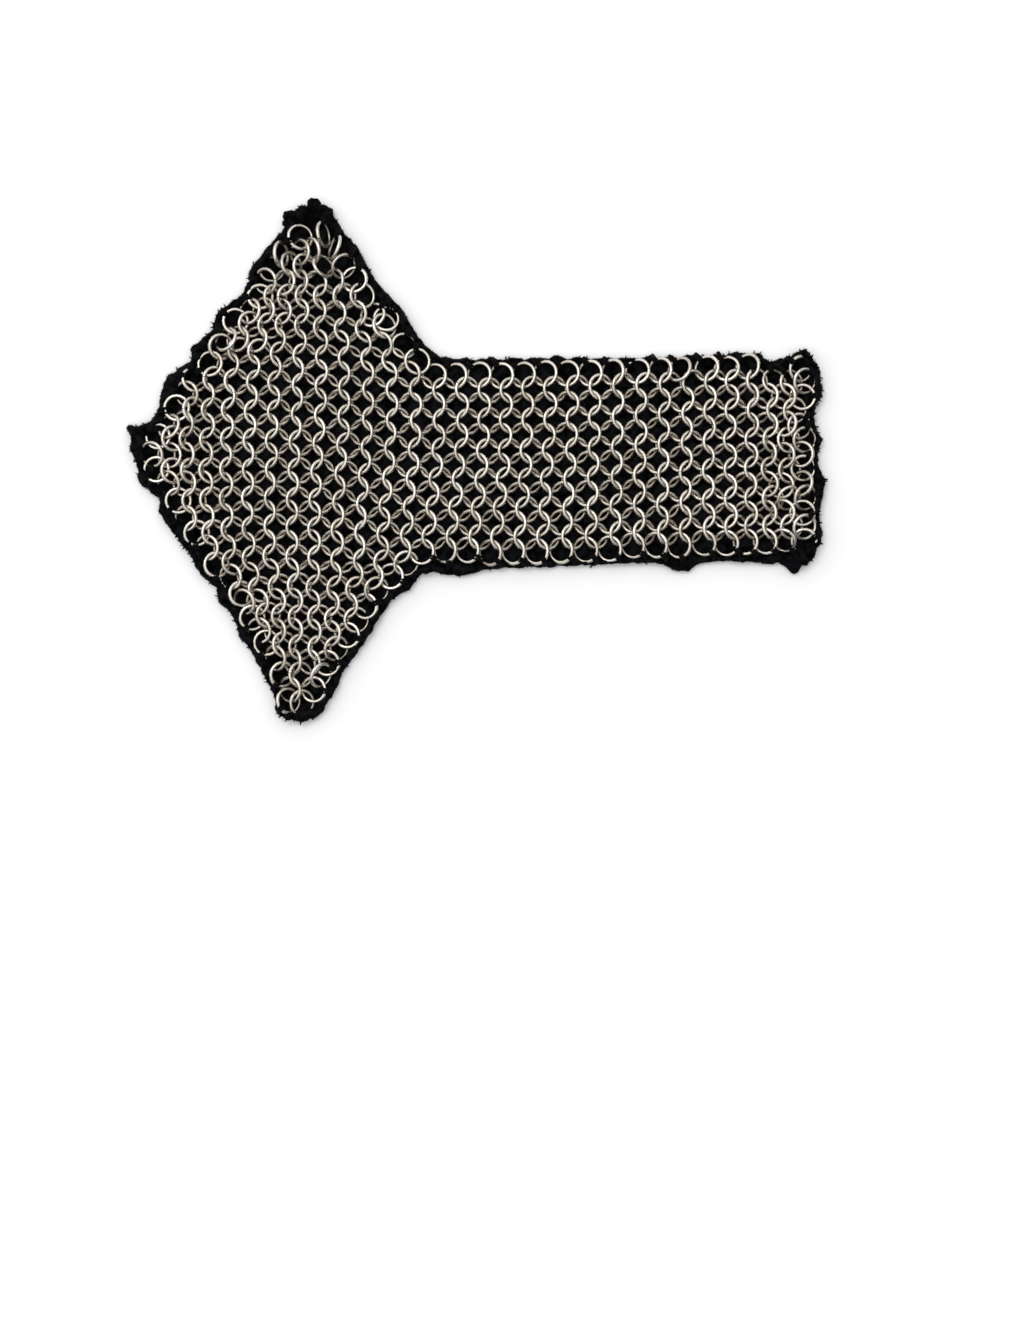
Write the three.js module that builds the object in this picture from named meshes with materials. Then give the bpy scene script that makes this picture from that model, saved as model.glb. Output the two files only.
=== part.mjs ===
// A cloth-backed chainmail armour panel, lying flat: an arrow-shaped patch of ring mail sewn to one cut
// of black pile cloth, whose border is turned up over the outer rings.
//
// Millimetres, +Z up. The origin is on the surface below, under the middle of the panel's box.
// +X runs along the strap, away from the arrowhead, and +Y runs across it.
//
// One solid is the whole cut of cloth with its turned-up hem. Each row of the mail is a solid wall of
// its own: its top rises and drops once for each ring, as the leaning rings of a row do.

import * as THREE from 'three';

// ---- driving dimensions ----

// The rings: 1.6 mm wire wound to a 9 mm inside diameter.
const WIRE_DIAMETER = 1.6;
const RING_INSIDE_DIAMETER = 9;
const RING_LEAN_DEGREES = 25;

// How far apart rings stand along a row, in the open and where the mail is crowded: in the arrowhead's
// left corner, at the strap's end, and in the two wings above and below the strap.
const RING_PITCH = 10.1;
const LEFT_CORNER_PITCH = 6.8;
const STRAP_END_PITCH = 7;
const WING_PITCH = 8.1;

// Where each crowding starts and where it is complete: x, x, and how far from the middle line.
const LEFT_CORNER_CROWDING = { start: -85, full: -145 };
const STRAP_END_CROWDING = { start: 85, full: 150 };
const WING_CROWDING = { start: 44, full: 62 };

// How far apart rows are.
const HEAD_ROW_PITCH = 6.32;
const STRAP_ROW_PITCH = 6.44;

// The first row of the strap, where it starts at the arrowhead's left and where it runs along the strap.
const HEAD_FIRST_ROW_Y = 40.1;
const STRAP_FIRST_ROW_Y = 38;
const MIDDLE_COLUMN_X = -72;
const ROWS_ABOVE_STRAP = 9;
const ROWS_IN_STRAP = 13;
const ROWS_BELOW_STRAP = 10;

// The cloth: its thickness, and the height of the hem that is folded up over the outer rings.
const CLOTH_THICKNESS = 1.5;
const HEM_HEIGHT = 5.2;
const STATION_SPACING = 6;
const PIECE_GAP = 0.3;

// Extra height of the hem where the cloth is bunched at a corner, and how far the bunch reaches.
const BUNCH_HEIGHT = 1.6;
const BUNCH_REACH = 14;

// ---- the cut of the cloth ----

// Each stretch of the border, clockwise from the left corner: the outer edge, which is lumpy because
// the cloth is pulled in between the rings, and the point where the hem's inner edge starts.
const BORDER = [
  {
    name: 'upper left side of the arrowhead',
    outer: [[-152, 14.5], [-144, 15.5], [-138.5, 24.5], [-136.5, 34.5], [-125.5, 43], [-124, 50],
      [-116, 56], [-114.5, 62.5], [-102, 73], [-98.5, 83], [-91.5, 92.5], [-85, 101]],
    innerStart: [-142.5, 11.7],
  },
  {
    name: 'top corner',
    outer: [[-85, 101], [-85, 107.5], [-78.5, 110.5], [-73, 113.5], [-68.5, 113.5], [-62.5, 107.5],
      [-60, 101]],
    innerStart: [-79.5, 100.2],
  },
  {
    name: 'upper right side of the arrowhead',
    outer: [[-60, 101], [-55.5, 95.5], [-51, 90.5], [-48.5, 84.5], [-42.5, 75.5], [-33, 65],
      [-23.5, 50], [-16.5, 45]],
    innerStart: [-66, 100.2],
  },
  {
    name: 'top edge of the strap',
    outer: [[-16.5, 45], [1, 44.5], [27, 45.5], [53.5, 44.5], [71, 45.5], [96.5, 47], [122.5, 46]],
    innerStart: [-21.5, 41.2],
  },
  {
    name: 'top corner of the strap',
    outer: [[122.5, 46], [126.5, 43.6], [133, 44], [143, 48.5]],
    innerStart: [122, 41.2],
  },
  {
    name: 'tip of the top corner of the strap',
    outer: [[143, 48.5], [147.5, 42], [150, 32.5]],
    innerStart: [136, 41.2],
  },
  {
    name: 'end of the strap',
    outer: [[150, 32.5], [150, 26], [146.5, 18.5], [150, 8.5], [148.5, -2], [152, -9], [150, -17.5],
      [149, -26], [150.5, -33]],
    innerStart: [144, 34],
  },
  {
    name: 'tip of the bottom corner of the strap',
    outer: [[150.5, -33], [148.5, -40], [142.5, -46.5]],
    innerStart: [144, -34],
  },
  {
    name: 'bottom corner of the strap',
    outer: [[142.5, -46.5], [137.5, -49.5], [132, -45.5]],
    innerStart: [136, -42.5],
  },
  {
    name: 'bottom edge of the strap',
    outer: [[132, -45.5], [97, -45.5], [88.5, -49.5], [79.5, -46], [53.5, -46], [27, -47], [5.5, -48],
      [-7.5, -50.5], [-20, -49.5]],
    innerStart: [130, -42.5],
  },
  {
    name: 'lower right side of the arrowhead',
    outer: [[-20, -49.5], [-26, -51.5], [-28.5, -56], [-35.5, -59.5], [-43.5, -70.5], [-50.5, -82],
      [-58, -91.5], [-61, -98.5], [-65, -106]],
    innerStart: [-21.5, -42.5],
  },
  {
    name: 'bottom corner',
    outer: [[-65, -106], [-69.5, -112.5], [-82, -114], [-87.5, -110], [-88.5, -103.5]],
    innerStart: [-70.5, -103.9],
  },
  {
    name: 'lower left side of the arrowhead',
    outer: [[-88.5, -103.5], [-95.5, -90.5], [-99, -83.5], [-104.5, -76.5], [-106.5, -68.5],
      [-112.5, -62.5], [-114, -56], [-121, -50.5], [-125.5, -42], [-133, -32], [-138.5, -24.5],
      [-139, -17.5]],
    innerStart: [-82.5, -103.2],
  },
  {
    name: 'left end of the arrowhead',
    outer: [[-139, -17.5], [-147, -10.5], [-148, -4.5], [-151, 3.5], [-152, 14.5]],
    innerStart: [-132.5, -17.5],
  },
];

// Corners where the turned-up cloth is bunched.
const BUNCHES = [[-73, 110], [-150, 12], [-78, -111], [145, 44], [143, -44]];

// The section through the hem, from the underside, up the outside, over, and back down to the floor of
// the panel: how far in from the outer edge to the hem's inner edge, from 0 to 1, and the height.
const HEM_SECTION = [
  [0.25, 0],
  [0, 1.2],
  [0, 4],
  [0.28, HEM_HEIGHT],
  [0.93, HEM_HEIGHT - 0.4],
  [0.91, HEM_HEIGHT - 1.8],
  [0.38, HEM_HEIGHT - 1.5],
  [0.28, HEM_HEIGHT - 2.2],
  [0.28, CLOTH_THICKNESS + 0.6],
  [0.42, CLOTH_THICKNESS],
];

// ---- shared shapes ----

const { lerp, smoothstep } = THREE.MathUtils;

// The stations round the border: each has its point on the outer edge and on the hem's inner edge.
function borderStations() {
  const stations = [];
  BORDER.forEach((stretch, index) => {
    const points = stretch.outer.map(([x, y]) => new THREE.Vector3(x, y, 0));
    const curve = new THREE.CatmullRomCurve3(points, false, 'centripetal');
    const steps = Math.max(2, Math.round(curve.getLength() / STATION_SPACING));
    const innerStart = new THREE.Vector3(...stretch.innerStart, 0);
    const innerEnd = new THREE.Vector3(...BORDER[(index + 1) % BORDER.length].innerStart, 0);
    curve.getSpacedPoints(steps).slice(0, steps).forEach((outer, step) => {
      stations.push({ outer, inner: innerStart.clone().lerp(innerEnd, step / steps) });
    });
  });
  return stations;
}

// How much a bunched corner raises the hem at a point, from 0 to 1.
function bunching(point) {
  const nearest = Math.min(...BUNCHES.map(([x, y]) => Math.hypot(point.x - x, point.y - y)));
  return 1 - smoothstep(nearest, 0, BUNCH_REACH);
}

// A closed mesh from flat lists of its corners and its triangles.
function meshGeometry(corners, triangles) {
  const geometry = new THREE.BufferGeometry();
  geometry.setAttribute('position', new THREE.Float32BufferAttribute(corners.flat(), 3));
  geometry.setIndex(triangles.flat());
  geometry.computeVertexNormals();
  return geometry;
}

// ---- the cloth ----

// The cloth is lofted through the rings that the hem's section makes as it goes round the border, and
// closed by the flat underside and by the floor that the mail lies on.
function clothGeometry(stations) {
  const count = stations.length;
  const corners = HEM_SECTION.flatMap(([share, height]) => stations.map(({ outer, inner }) => {
    const point = outer.clone().lerp(inner, share);
    const raised = Math.max(0, height - CLOTH_THICKNESS) / (HEM_HEIGHT - CLOTH_THICKNESS);
    return [point.x, point.y, height + raised * BUNCH_HEIGHT * bunching(outer)];
  }));
  const triangles = [];
  for (let ring = 0; ring < HEM_SECTION.length - 1; ring += 1) {
    for (let station = 0; station < count; station += 1) {
      const next = (station + 1) % count;
      const low = ring * count;
      const high = low + count;
      triangles.push([low + station, high + station, high + next]);
      triangles.push([low + station, high + next, low + next]);
    }
  }
  const flatRing = (ring) => corners.slice(ring * count, (ring + 1) * count)
    .map(([x, y]) => new THREE.Vector2(x, y));
  const lastRing = HEM_SECTION.length - 1;
  const underside = THREE.ShapeUtils.triangulateShape(flatRing(0), []);
  const floor = THREE.ShapeUtils.triangulateShape(flatRing(lastRing), []);
  underside.forEach((triangle) => triangles.push([...triangle].reverse()));
  floor.forEach((triangle) => triangles.push(triangle.map((v) => v + lastRing * count)));
  return meshGeometry(corners, triangles);
}

// ---- the mail ----

const RING_RADIUS = (RING_INSIDE_DIAMETER + WIRE_DIAMETER) / 2;
const MAIL_BOTTOM = CLOTH_THICKNESS + PIECE_GAP;
const LEAN_RISE = 2 * RING_RADIUS * Math.sin(THREE.MathUtils.degToRad(RING_LEAN_DEGREES));
const MAIL_TOP = CLOTH_THICKNESS + LEAN_RISE + WIRE_DIAMETER;
const TOOTH_RISE = 2.6;
const TOOTH_DROP_LENGTH = 1.2;
const SHORTEST_TOOTH = 3;
const STRAP_START_X = -20;
const HEAD_SETTLE_X = -100;

// The y of a row's middle at x. Row 0 is the strap's first, and rows above it have negative numbers.
// The rows lie a little higher and closer in the arrowhead than along the strap. Half numbers give the
// lines between rows.
function rowLine(row, x) {
  const towardsStrap = smoothstep(x, HEAD_SETTLE_X, STRAP_START_X);
  const firstRow = lerp(HEAD_FIRST_ROW_Y, STRAP_FIRST_ROW_Y, towardsStrap);
  return firstRow - row * lerp(HEAD_ROW_PITCH, STRAP_ROW_PITCH, towardsStrap);
}

// The near (lower y) and the far edge of a row's wall at x, half a gap inside the lines between rows.
const nearEdge = (row, x) => rowLine(row + 0.5, x) + PIECE_GAP / 2;
const farEdge = (row, x) => rowLine(row - 0.5, x) - PIECE_GAP / 2;

// How far apart rings stand along a row at a point.
function ringPitch(x, y) {
  const crowding = (place, { start, full }) => smoothstep((place - start) / (full - start), 0, 1);
  const corner = (RING_PITCH - LEFT_CORNER_PITCH) * crowding(x, LEFT_CORNER_CROWDING);
  const end = (RING_PITCH - STRAP_END_PITCH) * crowding(x, STRAP_END_CROWDING);
  const wing = (RING_PITCH - WING_PITCH) * crowding(Math.abs(y), WING_CROWDING);
  return RING_PITCH - corner - end - wing;
}

// Where a line across the panel at y meets the hem's inner edge, from left to right.
function hemCrossings(y) {
  const corners = BORDER.map(({ innerStart }) => innerStart);
  const crossings = [];
  corners.forEach(([startX, startY], index) => {
    const [endX, endY] = corners[(index + 1) % corners.length];
    if ((startY > y) !== (endY > y)) {
      crossings.push(lerp(startX, endX, (y - startY) / (endY - startY)));
    }
  });
  return crossings.sort((a, b) => a - b);
}

// Where one edge of a row meets the hem, at the left or the right. The edge's y changes slowly along
// the row, so a few passes settle it.
const ROW_END_PASSES = 8;

function rowEnd(edge, row, side) {
  let x = MIDDLE_COLUMN_X;
  for (let pass = 0; pass < ROW_END_PASSES; pass += 1) {
    x = hemCrossings(edge(row, x)).at(side === 'left' ? 0 : -1);
  }
  return x;
}

// The places between two ends of a row where one ring's share stops and the next one's starts.
function ringDivisions(row, start, end) {
  const pitchAt = (x) => ringPitch(x, rowLine(row, x));
  const first = MIDDLE_COLUMN_X + (row % 2 === 0 ? 0 : pitchAt(MIDDLE_COLUMN_X) / 2);
  const divisions = [];
  for (let x = first; x > start + SHORTEST_TOOTH; x -= pitchAt(x)) {
    divisions.unshift(x);
  }
  for (let x = first + pitchAt(first); x < end - SHORTEST_TOOTH; x += pitchAt(x)) {
    divisions.push(x);
  }
  return divisions;
}

// One row: a wall as wide as the row, whose top has one sloping tooth for each ring. The rings of even
// rows have their right side up, and those of odd rows their left. Each place along the row gives two
// corners, one on the near and one on the far edge.
function rowGeometry(row) {
  const left = { near: rowEnd(nearEdge, row, 'left'), far: rowEnd(farEdge, row, 'left') };
  const right = { near: rowEnd(nearEdge, row, 'right'), far: rowEnd(farEdge, row, 'right') };
  const start = Math.max(left.near, left.far);
  const end = Math.min(right.near, right.far);
  const [toothEnd, toothStart] = row % 2 === 0
    ? [MAIL_TOP, MAIL_TOP - TOOTH_RISE]
    : [MAIL_TOP - TOOTH_RISE, MAIL_TOP];

  const corners = [];
  const addPlace = (nearX, farX, z) => {
    corners.push([nearX, nearEdge(row, nearX), z], [farX, farEdge(row, farX), z]);
    return corners.length - 2;
  };
  const sections = [
    { floor: addPlace(left.near, left.far, MAIL_BOTTOM), after: addPlace(left.near, left.far, toothStart) },
  ];
  ringDivisions(row, start, end).forEach((x) => sections.push({
    floor: addPlace(x, x, MAIL_BOTTOM),
    before: addPlace(x, x, toothEnd),
    after: addPlace(x + TOOTH_DROP_LENGTH, x + TOOTH_DROP_LENGTH, toothStart),
  }));
  sections.push({
    floor: addPlace(right.near, right.far, MAIL_BOTTOM),
    before: addPlace(right.near, right.far, toothEnd),
  });

  const triangles = [];
  const addStrip = (from, to) => triangles.push([from, to, to + 1], [from, to + 1, from + 1]);
  sections.slice(1).forEach((there, index) => {
    const here = sections[index];
    addStrip(there.floor, here.floor);
    addStrip(here.after, there.before);
    // the near side, and the far side the other way round
    const side = [[here.floor, there.floor, here.after], [there.floor, there.before, here.after]];
    if (here.before !== undefined) {
      addStrip(here.before, here.after);
      side.push([here.floor, here.after, here.before]);
    }
    side.forEach((triangle) => {
      triangles.push(triangle, triangle.map((corner) => corner + 1).reverse());
    });
  });
  addStrip(sections[0].floor, sections[0].after);
  addStrip(sections.at(-1).before, sections.at(-1).floor);
  return meshGeometry(corners, triangles);
}

// ---- the panel ----

const clothMaterial = new THREE.MeshStandardMaterial({ color: 0x0e0f11, roughness: 0.95, metalness: 0 });
const steelMaterial = new THREE.MeshStandardMaterial({ color: 0xc8bcac, roughness: 0.3, metalness: 1 });

const panel = new THREE.Group();

const stations = borderStations();
const cloth = new THREE.Mesh(clothGeometry(stations), clothMaterial);
cloth.name = 'backing_cloth';
panel.add(cloth);

const lastRow = ROWS_IN_STRAP + ROWS_BELOW_STRAP - 1;
for (let row = -ROWS_ABOVE_STRAP; row <= lastRow; row += 1) {
  const wall = new THREE.Mesh(rowGeometry(row), steelMaterial.clone());
  const rowNumber = row + ROWS_ABOVE_STRAP + 1;
  wall.name = `mail_row_${String(rowNumber).padStart(2, '0')}`;
  panel.add(wall);
}

// The border's lumps are not quite even, so the panel is moved to put the middle of its box at the origin.
const box = new THREE.Box3().setFromObject(cloth);
panel.position.set(-(box.min.x + box.max.x) / 2, -(box.min.y + box.max.y) / 2, 0);

const group = new THREE.Group();
group.add(panel);

export default group;
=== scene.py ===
import math

import bmesh
import bpy
import numpy as np
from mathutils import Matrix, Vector, noise
from mathutils.geometry import delaunay_2d_cdt


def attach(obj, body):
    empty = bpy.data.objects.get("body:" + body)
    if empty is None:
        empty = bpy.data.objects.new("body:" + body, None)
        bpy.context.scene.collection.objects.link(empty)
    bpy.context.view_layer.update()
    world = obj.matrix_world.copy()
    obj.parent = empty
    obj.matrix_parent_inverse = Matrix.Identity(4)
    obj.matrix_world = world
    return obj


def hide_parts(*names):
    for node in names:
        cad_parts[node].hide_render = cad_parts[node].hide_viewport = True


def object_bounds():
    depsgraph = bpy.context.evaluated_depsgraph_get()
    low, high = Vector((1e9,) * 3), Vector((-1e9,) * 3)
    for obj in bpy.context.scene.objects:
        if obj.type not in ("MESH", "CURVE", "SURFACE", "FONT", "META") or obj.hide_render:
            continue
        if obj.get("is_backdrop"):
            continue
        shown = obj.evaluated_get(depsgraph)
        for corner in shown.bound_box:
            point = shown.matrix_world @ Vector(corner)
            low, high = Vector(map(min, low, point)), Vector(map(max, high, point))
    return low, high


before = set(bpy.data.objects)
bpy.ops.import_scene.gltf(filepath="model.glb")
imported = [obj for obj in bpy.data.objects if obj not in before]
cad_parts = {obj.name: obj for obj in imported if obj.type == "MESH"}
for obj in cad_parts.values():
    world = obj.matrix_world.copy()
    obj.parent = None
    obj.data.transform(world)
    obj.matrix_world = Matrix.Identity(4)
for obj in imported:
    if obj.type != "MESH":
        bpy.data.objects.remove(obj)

MM = 0.001
cad_low, cad_high = (list(corner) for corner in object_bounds())


# ---- the table, the light and the camera ----
# The panel lies on a plain pale table, under one broad soft lamp and a pale room. The camera looks
# straight down, with the panel in the upper part of the view.

def new_material(name):
    material = bpy.data.materials.new(name)
    material.use_nodes = True
    nodes, links = material.node_tree.nodes, material.node_tree.links
    return material, nodes, links, nodes["Principled BSDF"]


def new_object(name, mesh):
    piece = bpy.data.objects.new(name, mesh)
    bpy.context.scene.collection.objects.link(piece)
    return piece


table_size = 40.0
half_table = table_size / 2
table_mesh = bpy.data.meshes.new("table")
table_mesh.from_pydata(
    [(-half_table, -half_table, 0), (half_table, -half_table, 0), (half_table, half_table, 0),
     (-half_table, half_table, 0)], [], [(0, 1, 2, 3)])
table = new_object("table", table_mesh)
table_material, _, _, table_shader = new_material("pale_table")
table_shader.inputs["Base Color"].default_value = (0.92, 0.92, 0.92, 1)
table_shader.inputs["Roughness"].default_value = 0.9
table_shader.inputs["Specular IOR Level"].default_value = 0.1
table_mesh.materials.append(table_material)
table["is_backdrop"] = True

# the room: a soft dome, brightest overhead and a little to the upper left, dim at the horizon
room_light = (1.0, 1.0, 1.0)
dome_top, dome_horizon = 1.32, 0.03
dome_full_from = 0.86
brightest_way = Vector((-0.22, 0.30, 0.93)).normalized()
world = bpy.data.worlds.new("soft_room")
bpy.context.scene.world = world
world.use_nodes = True
world_nodes, world_links = world.node_tree.nodes, world.node_tree.links
way = world_nodes.new("ShaderNodeTexCoord")
towards_top = world_nodes.new("ShaderNodeVectorMath")
towards_top.operation = "DOT_PRODUCT"
towards_top.inputs[1].default_value = brightest_way
world_links.new(way.outputs["Generated"], towards_top.inputs[0])
dome = world_nodes.new("ShaderNodeMapRange")
dome.interpolation_type = "SMOOTHSTEP"
dome.inputs["From Max"].default_value = dome_full_from
dome.inputs["To Min"].default_value = dome_horizon
dome.inputs["To Max"].default_value = dome_top
world_links.new(towards_top.outputs["Value"], dome.inputs["Value"])
world_links.new(dome.outputs["Result"], world_nodes["Background"].inputs["Strength"])
world_nodes["Background"].inputs["Color"].default_value = (*room_light, 1)

lamp_place = Vector((-0.50, 0.60, 1.6))
lamp = bpy.data.lights.new("broad_lamp", "AREA")
lamp.shape = "DISK"
lamp.size = 0.6
lamp.energy = 6
lamp_holder = new_object("broad_lamp", lamp)
lamp_holder.location = lamp_place
lamp_holder.rotation_mode = "QUATERNION"
lamp_holder.rotation_quaternion = (-lamp_place).to_track_quat("-Z", "Y")

camera_height = 1.0
view_height = 0.5777
long_side_sensor = 36.0
view_middle = (0.0150, -0.0883)
camera_data = bpy.data.cameras.new("camera")
camera_data.sensor_width = long_side_sensor
camera_data.lens = long_side_sensor * camera_height / view_height
camera = new_object("camera", camera_data)
camera.location = (*view_middle, camera_height)
bpy.context.scene.camera = camera
bpy.context.scene.view_settings.view_transform = "Standard"


# ---- the outline of the cloth ----
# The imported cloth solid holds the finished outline. Its outer wall starts at one height all the way
# round, so the corners at that height, followed along their shared edges, are the outline.

outline_height = 1.2 * MM
outline_step = 1.0 * MM


def outline_of(node):
    mesh = node.data
    keys = {}
    wall_start = {}
    for vertex in mesh.vertices:
        if abs(vertex.co.z - outline_height) < 1e-6:
            key = (round(vertex.co.x, 6), round(vertex.co.y, 6))
            keys[vertex.index] = key
            wall_start[key] = vertex.co.xy.copy()
    neighbours = {key: set() for key in wall_start}
    for polygon in mesh.polygons:
        on_wall = {keys[v] for v in polygon.vertices if v in keys}
        if len(on_wall) == 2:
            one, other = on_wall
            neighbours[one].add(other)
            neighbours[other].add(one)
    first = min(neighbours)
    path = [first, max(neighbours[first], key=lambda key: key[1])]
    while len(path) < len(neighbours):
        onward = neighbours[path[-1]] - {path[-2]}
        path.append(onward.pop())
    return np.array([wall_start[key] for key in path])


def even_loop(points, step):
    """A smooth closed curve through the points, cut into even steps."""
    before, after, later = np.roll(points, 1, 0), np.roll(points, -1, 0), np.roll(points, -2, 0)
    fine = []
    cuts = 8
    for share in np.linspace(0, 1, cuts, endpoint=False):
        s2, s3 = share * share, share ** 3
        fine.append(0.5 * ((2 * points) + (after - before) * share
                           + (2 * before - 5 * points + 4 * after - later) * s2
                           + (3 * points - before - 3 * after + later) * s3))
    curve = np.stack(fine, 1).reshape(-1, 2)
    closed = np.vstack([curve, curve[:1]])
    along = np.concatenate([[0], np.cumsum(np.linalg.norm(np.diff(closed, axis=0), axis=1))])
    count = int(round(along[-1] / step))
    places = np.arange(count) * along[-1] / count
    return np.stack([np.interp(places, along, closed[:, axis]) for axis in (0, 1)], 1)


outline = even_loop(outline_of(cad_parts["backing_cloth"]), outline_step)
outline_x, outline_y = outline[:, 0], outline[:, 1]


def outline_near(places):
    """For each place, its depth inside the outline, negative outside it, and the nearest station."""
    nearest = np.empty(len(places), int)
    depth = np.empty(len(places))
    next_x, next_y = np.roll(outline_x, -1), np.roll(outline_y, -1)
    for index, (x, y) in enumerate(places):
        distance = np.hypot(outline_x - x, outline_y - y)
        nearest[index] = distance.argmin()
        crosses = (outline_y > y) != (next_y > y)
        at = outline_x + (next_x - outline_x) * (y - outline_y) / (next_y - outline_y + 1e-12)
        inside = np.count_nonzero(crosses & (x < at)) % 2 == 1
        depth[index] = distance[nearest[index]] * (1 if inside else -1)
    return depth, nearest


# ---- the mail ----
# Butted rings of bare steel wire, woven one through four. The rows run along the strap, the rings of
# one row all lean the same way, and the next row's lean back, so each ring passes through two above
# and two below. The rings are laid out on the weave's even grid, moved to their places and settled:
# they sink to the cloth and push each other apart, and nearly all of them stay linked.

wire_radius = 0.8 * MM
ring_radius = 5.3 * MM
ring_lean = math.radians(31)
cloth_top = 1.5 * MM

ring_pitch = 10.1 * MM
left_corner_pitch = 6.8 * MM
strap_end_pitch = 7.0 * MM
wing_pitch = 8.1 * MM
apex_pitch = 7.4 * MM
head_row_pitch = 6.32 * MM
strap_row_pitch = 6.57 * MM
head_first_row_y = 40.1 * MM
strap_first_row_y = 38.4 * MM
middle_column_x = -72 * MM
mail_rows = range(-10, 24)
last_rows_rise = 2.6 * MM


def ease(value, low, high):
    share = np.clip((value - low) / (high - low), 0, 1)
    return share * share * (3 - 2 * share)


def row_line(row, x):
    """The y of a row's middle at x. Row 0 is the strap's first, and rows above it are negative. The
    strap's last rows close up towards its end."""
    towards_strap = ease(x, -100 * MM, -20 * MM)
    first = head_first_row_y + (strap_first_row_y - head_first_row_y) * towards_strap
    closed_up = last_rows_rise * ease(row, 9, 12) * ease(x, 10 * MM, 95 * MM)
    return first - row * (head_row_pitch + (strap_row_pitch - head_row_pitch) * towards_strap) + closed_up


def pitch_at(x, y):
    corner = (ring_pitch - left_corner_pitch) * (1 - ease(x, -145 * MM, -85 * MM))
    strap_end = (ring_pitch - strap_end_pitch) * ease(x, 85 * MM, 150 * MM)
    wing = (ring_pitch - wing_pitch) * ease(abs(y), 44 * MM, 62 * MM)
    apex = (wing_pitch - apex_pitch) * ease(y, 62 * MM, 85 * MM)
    return ring_pitch - corner - strap_end - wing - apex


def row_places(row):
    """(column, x) for every ring that one row could hold, in columns numbered from the middle one."""
    start = 0 if row % 2 == 0 else 0.5
    first = middle_column_x + start * pitch_at(middle_column_x, row_line(row, middle_column_x))
    places = [(start, first)]
    for direction in (1, -1):
        column, x = start, first
        while cad_low[0] < x < cad_high[0]:
            x += direction * pitch_at(x, row_line(row, x))
            column += direction
            places.append((column, x))
    return places


# The mail is drawn off its even rows in a few places. These eight pulls are not chosen by hand: a
# separate program fitted them to how the real panel's rings lie.
sewing_pulls = [
    # where, how far it reaches, and how far along x and y the rings there are drawn
    ((-140 * MM, -60 * MM), 35 * MM, (6.0 * MM, -8.0 * MM)),
    ((-130 * MM, 60 * MM), 35 * MM, (5.0 * MM, 1.5 * MM)),
    ((-70 * MM, -30 * MM), 35 * MM, (-1.0 * MM, 1.0 * MM)),
    ((-50 * MM, 50 * MM), 60 * MM, (2.0 * MM, -2.0 * MM)),
    ((-10 * MM, 10 * MM), 35 * MM, (2.5 * MM, 0)),
    ((10 * MM, -70 * MM), 60 * MM, (-3.5 * MM, 4.0 * MM)),
    ((20 * MM, -20 * MM), 60 * MM, (-1.0 * MM, -3.0 * MM)),
    ((140 * MM, -10 * MM), 60 * MM, (-2.5 * MM, 3.5 * MM)),
]


def drawn_by_sewing(places):
    """The places, moved by each pull: fully at its middle, and less with the distance from it."""
    moved = places.copy()
    for centre, reach, amount in sewing_pulls:
        distance = np.hypot(*(places - centre).T)
        moved += np.exp(-(distance / reach) ** 2)[:, None] * amount
    return moved


layout = np.array([(row, column, x, row_line(row, x))
                   for row in mail_rows for column, x in sorted(row_places(row))])
rows, columns, places = layout[:, 0], layout[:, 1], layout[:, 2:]
places = drawn_by_sewing(places)


def along_strap_at(x):
    """1 at the strap's two long edges, and 0 round the arrowhead and at the strap's end."""
    return ease(x, -25 * MM, -5 * MM) * (1 - ease(x, 118 * MM, 136 * MM))


# Rings are left out past the outline and past the strap's two edges. The end rings of a row are
# then moved to stand their room from the edge, and draw the next two along a little.
strap_start_x = -12 * MM
strap_last_row = 12
left_room, right_room, strap_room = 8.3 * MM, 7.9 * MM, 5.8 * MM
highest_ring, lowest_ring = 99.5 * MM, -105.0 * MM
leftmost_ring = -141.5 * MM
most_pull = 2.8 * MM
drawn_along = (1.0, 0.5, 0.2)
station_room = left_room + (right_room - left_room) * ease(outline_x, -85 * MM, -65 * MM)
station_room += (strap_room - station_room) * along_strap_at(outline_x)
bottom_corner, corner_room = (-78 * MM, -108 * MM), 5.8 * MM
into_corner = 1 - ease(np.hypot(*(outline - bottom_corner).T), 6 * MM, 20 * MM)
station_room += (corner_room - station_room) * into_corner
depth, nearest_station = outline_near(places)
edge_room = station_room[nearest_station]
past_strap = (places[:, 0] > strap_start_x) & ((rows < 0) | (rows > strap_last_row))
past_corner = ((places[:, 1] > highest_ring + most_pull) | (places[:, 1] < lowest_ring - most_pull)
               | (places[:, 0] < leftmost_ring - most_pull))
kept = (depth > edge_room - most_pull) & ~past_strap & ~past_corner
rows, columns, places = rows[kept], columns[kept], places[kept]
depth, nearest_station, edge_room = depth[kept], nearest_station[kept], edge_room[kept]
inwards = places - outline[nearest_station]
inwards /= np.linalg.norm(inwards, axis=1)[:, None]
pull = np.clip(edge_room - depth, -most_pull, most_pull)[:, None] * inwards
moved = np.clip(edge_room - depth, 0, None)[:, None] * inwards
for row in mail_rows:
    in_row = np.nonzero(rows == row)[0]
    for ends in (in_row, in_row[::-1]):
        for ring, share in zip(ends[:len(in_row) // 2], drawn_along):
            moved[ring] = share * pull[ends[0]]
places = places + moved
ring_count = len(places)
chance = np.random.default_rng(4)

# which rings could touch, and how many rings each one is linked with
row_gap = np.abs(rows[:, None] - rows)
column_gap = np.abs(columns[:, None] - columns)
link_count = ((row_gap == 1) & (column_gap == 0.5)).sum(1)
first_ring, second_ring = np.nonzero((row_gap <= 2) & (column_gap <= 1.5) & (row_gap + column_gap > 0))

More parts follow.
